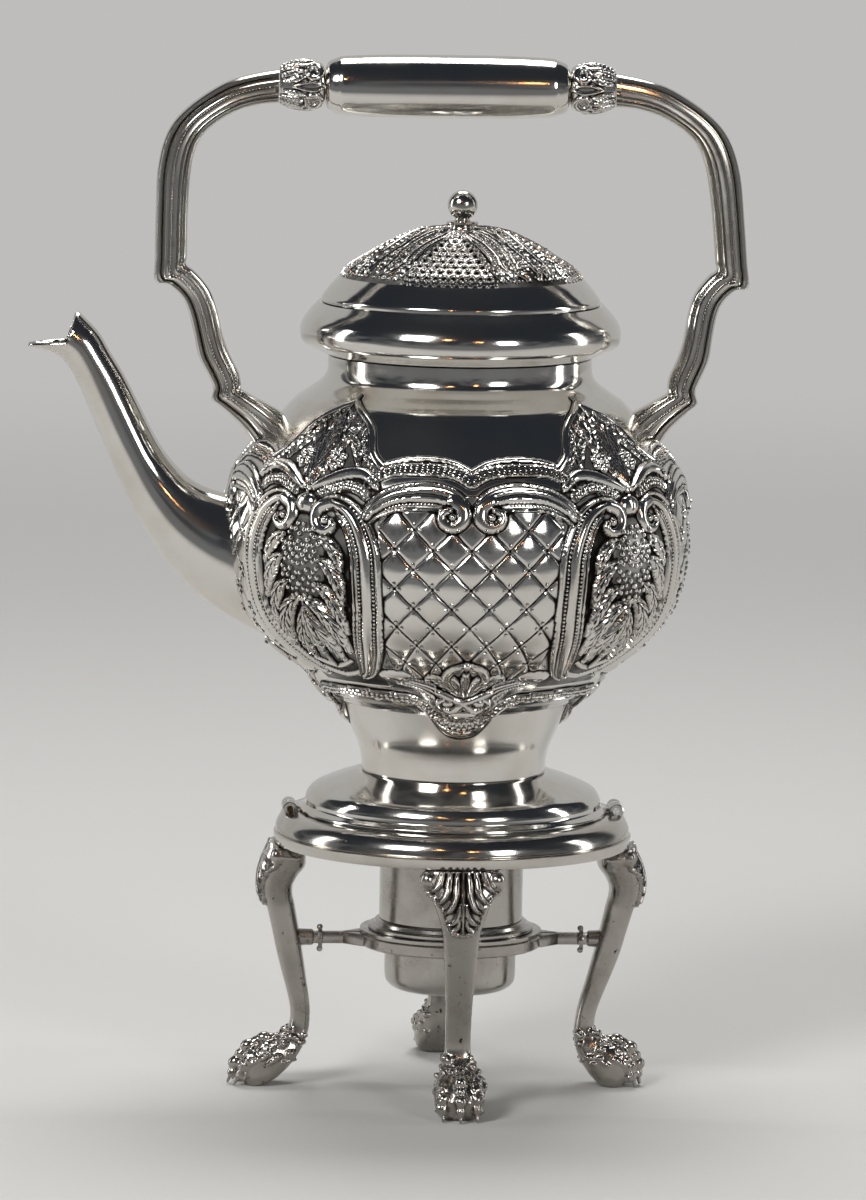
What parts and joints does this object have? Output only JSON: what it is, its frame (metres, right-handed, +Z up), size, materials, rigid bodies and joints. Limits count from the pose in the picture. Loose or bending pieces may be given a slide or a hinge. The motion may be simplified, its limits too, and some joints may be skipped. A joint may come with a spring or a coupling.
{
  "type": "spirit kettle on stand",
  "caption": "Bulbous silver-plated spirit kettle with swan-neck spout, loop handle and domed lid, hinged on a claw-footed lampstand over a spirit burner.",
  "frame": {"origin": "on the table, under the middle of the object's bounding box; the kettle's own axis stands 26.55 mm from it along +X", "axes": "+Z up, -X towards the spout, the handle's plane is XZ and the front of the picture faces -Y"},
  "size_m": [0.2652, 0.172, 0.3836],
  "materials": {
    "silver_plate": "polished silver plate, dark tarnish left in the chased recesses",
    "worn_silver_plate": "worn and spotted silver plate",
    "brass": "bare brass",
    "cotton_wick": "braided cotton"
  },
  "bodies": {
    "stand": {"stand_ring": "silver_plate", "leg_left": "worn_silver_plate", "leg_right": "worn_silver_plate", "leg_front": "worn_silver_plate", "leg_rear": "worn_silver_plate", "stand_eye_left_front": "silver_plate", "stand_eye_left_rear": "silver_plate", "stand_eye_right_front": "silver_plate", "stand_eye_right_rear": "silver_plate", "hinge_pin": "brass", "burner_ring": "worn_silver_plate", "arm_socket_left": "worn_silver_plate", "arm_socket_right": "worn_silver_plate"},
    "kettle": {"kettle_waist": "silver_plate", "kettle_body": "silver_plate", "kettle_neck": "silver_plate", "kettle_bottom": "silver_plate", "kettle_foot": "silver_plate", "neck_collar": "silver_plate", "spout": "silver_plate", "handle_arm_left": "silver_plate", "handle_arm_right": "silver_plate", "grip_sleeve_left": "silver_plate", "grip_sleeve_right": "silver_plate", "handle_grip": "silver_plate", "grip_rod": "brass", "kettle_knuckle_left": "silver_plate", "kettle_knuckle_right": "silver_plate"},
    "lid": {"lid_dome": "silver_plate", "lid_bezel": "silver_plate", "lid_finial": "silver_plate", "finial_nut": "brass"},
    "burner": {"burner_cup": "silver_plate", "burner_cover": "silver_plate", "burner_jacket": "silver_plate", "wick_tube": "brass", "wick": "cotton_wick"},
    "clip_left": {"ring_clip_left": "silver_plate"},
    "clip_right": {"ring_clip_right": "silver_plate"}
  },
  "joints": [
    {"name": "kettle_tilt", "type": "hinge", "parent": "stand", "child": "kettle", "pos_m": [-0.03405, 0, 0.1044], "axis": [0, -1, 0], "range_deg": [0, 50]},
    {"name": "lid_lift", "type": "slide", "parent": "kettle", "child": "lid", "axis": [0, 0, 1], "range_m": [0, 0.022]},
    {"name": "burner_lift", "type": "slide", "parent": "stand", "child": "burner", "axis": [0, 0, 1], "range_m": [0, 0.022]},
    {"name": "clip_left_pull", "type": "slide", "parent": "stand", "child": "clip_left", "axis": [0, -1, 0], "range_m": [0, 0.008]},
    {"name": "clip_right_pull", "type": "slide", "parent": "stand", "child": "clip_right", "axis": [0, -1, 0], "range_m": [0, 0.008]}
  ]
}
